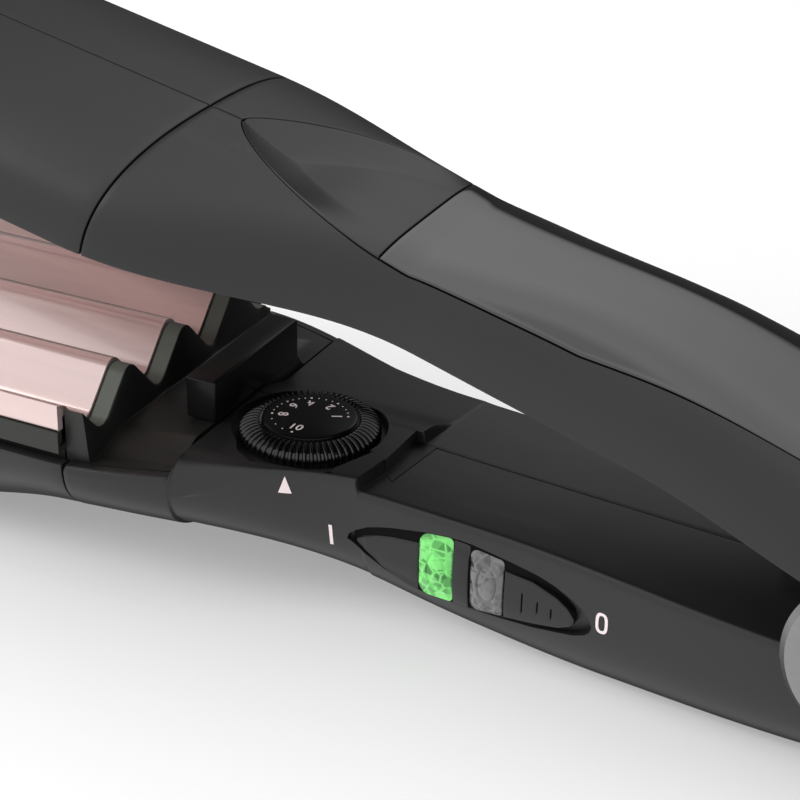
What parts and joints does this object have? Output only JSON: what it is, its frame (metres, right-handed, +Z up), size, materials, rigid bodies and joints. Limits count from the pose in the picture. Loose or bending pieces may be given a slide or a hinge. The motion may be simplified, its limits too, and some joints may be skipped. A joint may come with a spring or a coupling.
{
  "type": "hair crimper",
  "caption": "Deep-wave hair crimper with two hinged arms, waved plates, temperature dial, sliding power switch, thumb rest and swivel cord gland.",
  "frame": {"origin": "centre of the overall box on the rest plane, below the middle of the arms", "axes": "+X along the arms towards the pivot and the cord gland, +Y across the arms away from the switch, +Z up"},
  "size_m": [0.2593, 0.0626, 0.0901],
  "materials": {
    "shell": "fine satin texture",
    "heat_frame": "smooth heat-resistant",
    "plate": "rose satin ceramic coat",
    "gloss": "high gloss",
    "dial": "ribbed satin",
    "slider": "satin",
    "green_lens": "translucent, lit",
    "clear_lens": "translucent, unlit",
    "silver": "satin with a bright bevel",
    "gland": "matte",
    "steel": "plain",
    "ceramic": "plain",
    "component": "plain",
    "board": "lacquered",
    "led": "clear"
  },
  "bodies": {
    "lower_arm": {"lower_shell_front": "shell", "lower_shell_back": "shell", "lower_head_front": "shell", "lower_head_back": "shell", "lower_plate_frame": "heat_frame", "rear_end_block": "heat_frame", "tip_end_block": "heat_frame", "lower_plate": "plate", "lower_heater": "ceramic", "lower_clamp": "steel", "guard_bar": "heat_frame", "dial_deck": "shell", "potentiometer": "component", "control_board": "board", "slide_switch": "steel", "indicator_leds": "led", "lower_screws": "steel", "pivot_pin": "steel", "pivot_disc_front": "silver", "pivot_disc_back": "silver", "opening_spring": "steel"},
    "dial": {"temperature_dial": "dial", "dial_disc": "gloss"},
    "switch_button": {"power_slider": "slider", "green_lens": "green_lens", "clear_lens": "clear_lens"},
    "gland": {"cord_gland": "gland"},
    "upper_arm": {"upper_shell_front": "shell", "upper_shell_back": "shell", "thumb_rest": "shell", "gloss_cover": "gloss", "upper_head_front": "shell", "upper_head_back": "shell", "upper_plate_frame": "heat_frame", "upper_plate": "plate", "upper_heater": "ceramic", "upper_clamp": "steel", "upper_inner_cover": "heat_frame", "thermal_fuse": "component", "upper_screws": "steel"}
  },
  "joints": [
    {"name": "arm_pivot", "type": "hinge", "parent": "lower_arm", "child": "upper_arm", "pos_m": [0.1, 0, 0.02], "axis": [0, 1, 0], "range_deg": [-12.4, 0], "stiffness_Nm_per_rad": 0.6, "springref_deg": 25.78, "deforming": ["opening_spring"]},
    {"name": "dial_turn", "type": "hinge", "parent": "lower_arm", "child": "dial", "pos_m": [0.008, -0.0062, 0.0244], "axis": [0, 0, 1], "range_deg": [0, 288]},
    {"name": "switch_slide", "type": "slide", "parent": "lower_arm", "child": "switch_button", "axis": [1, 0, 0], "range_m": [0, 0.0025]},
    {"name": "gland_swivel", "type": "hinge", "parent": "lower_arm", "child": "gland", "pos_m": [0.118, 0, 0.0098], "axis": [1, 0, 0], "continuous": true}
  ]
}
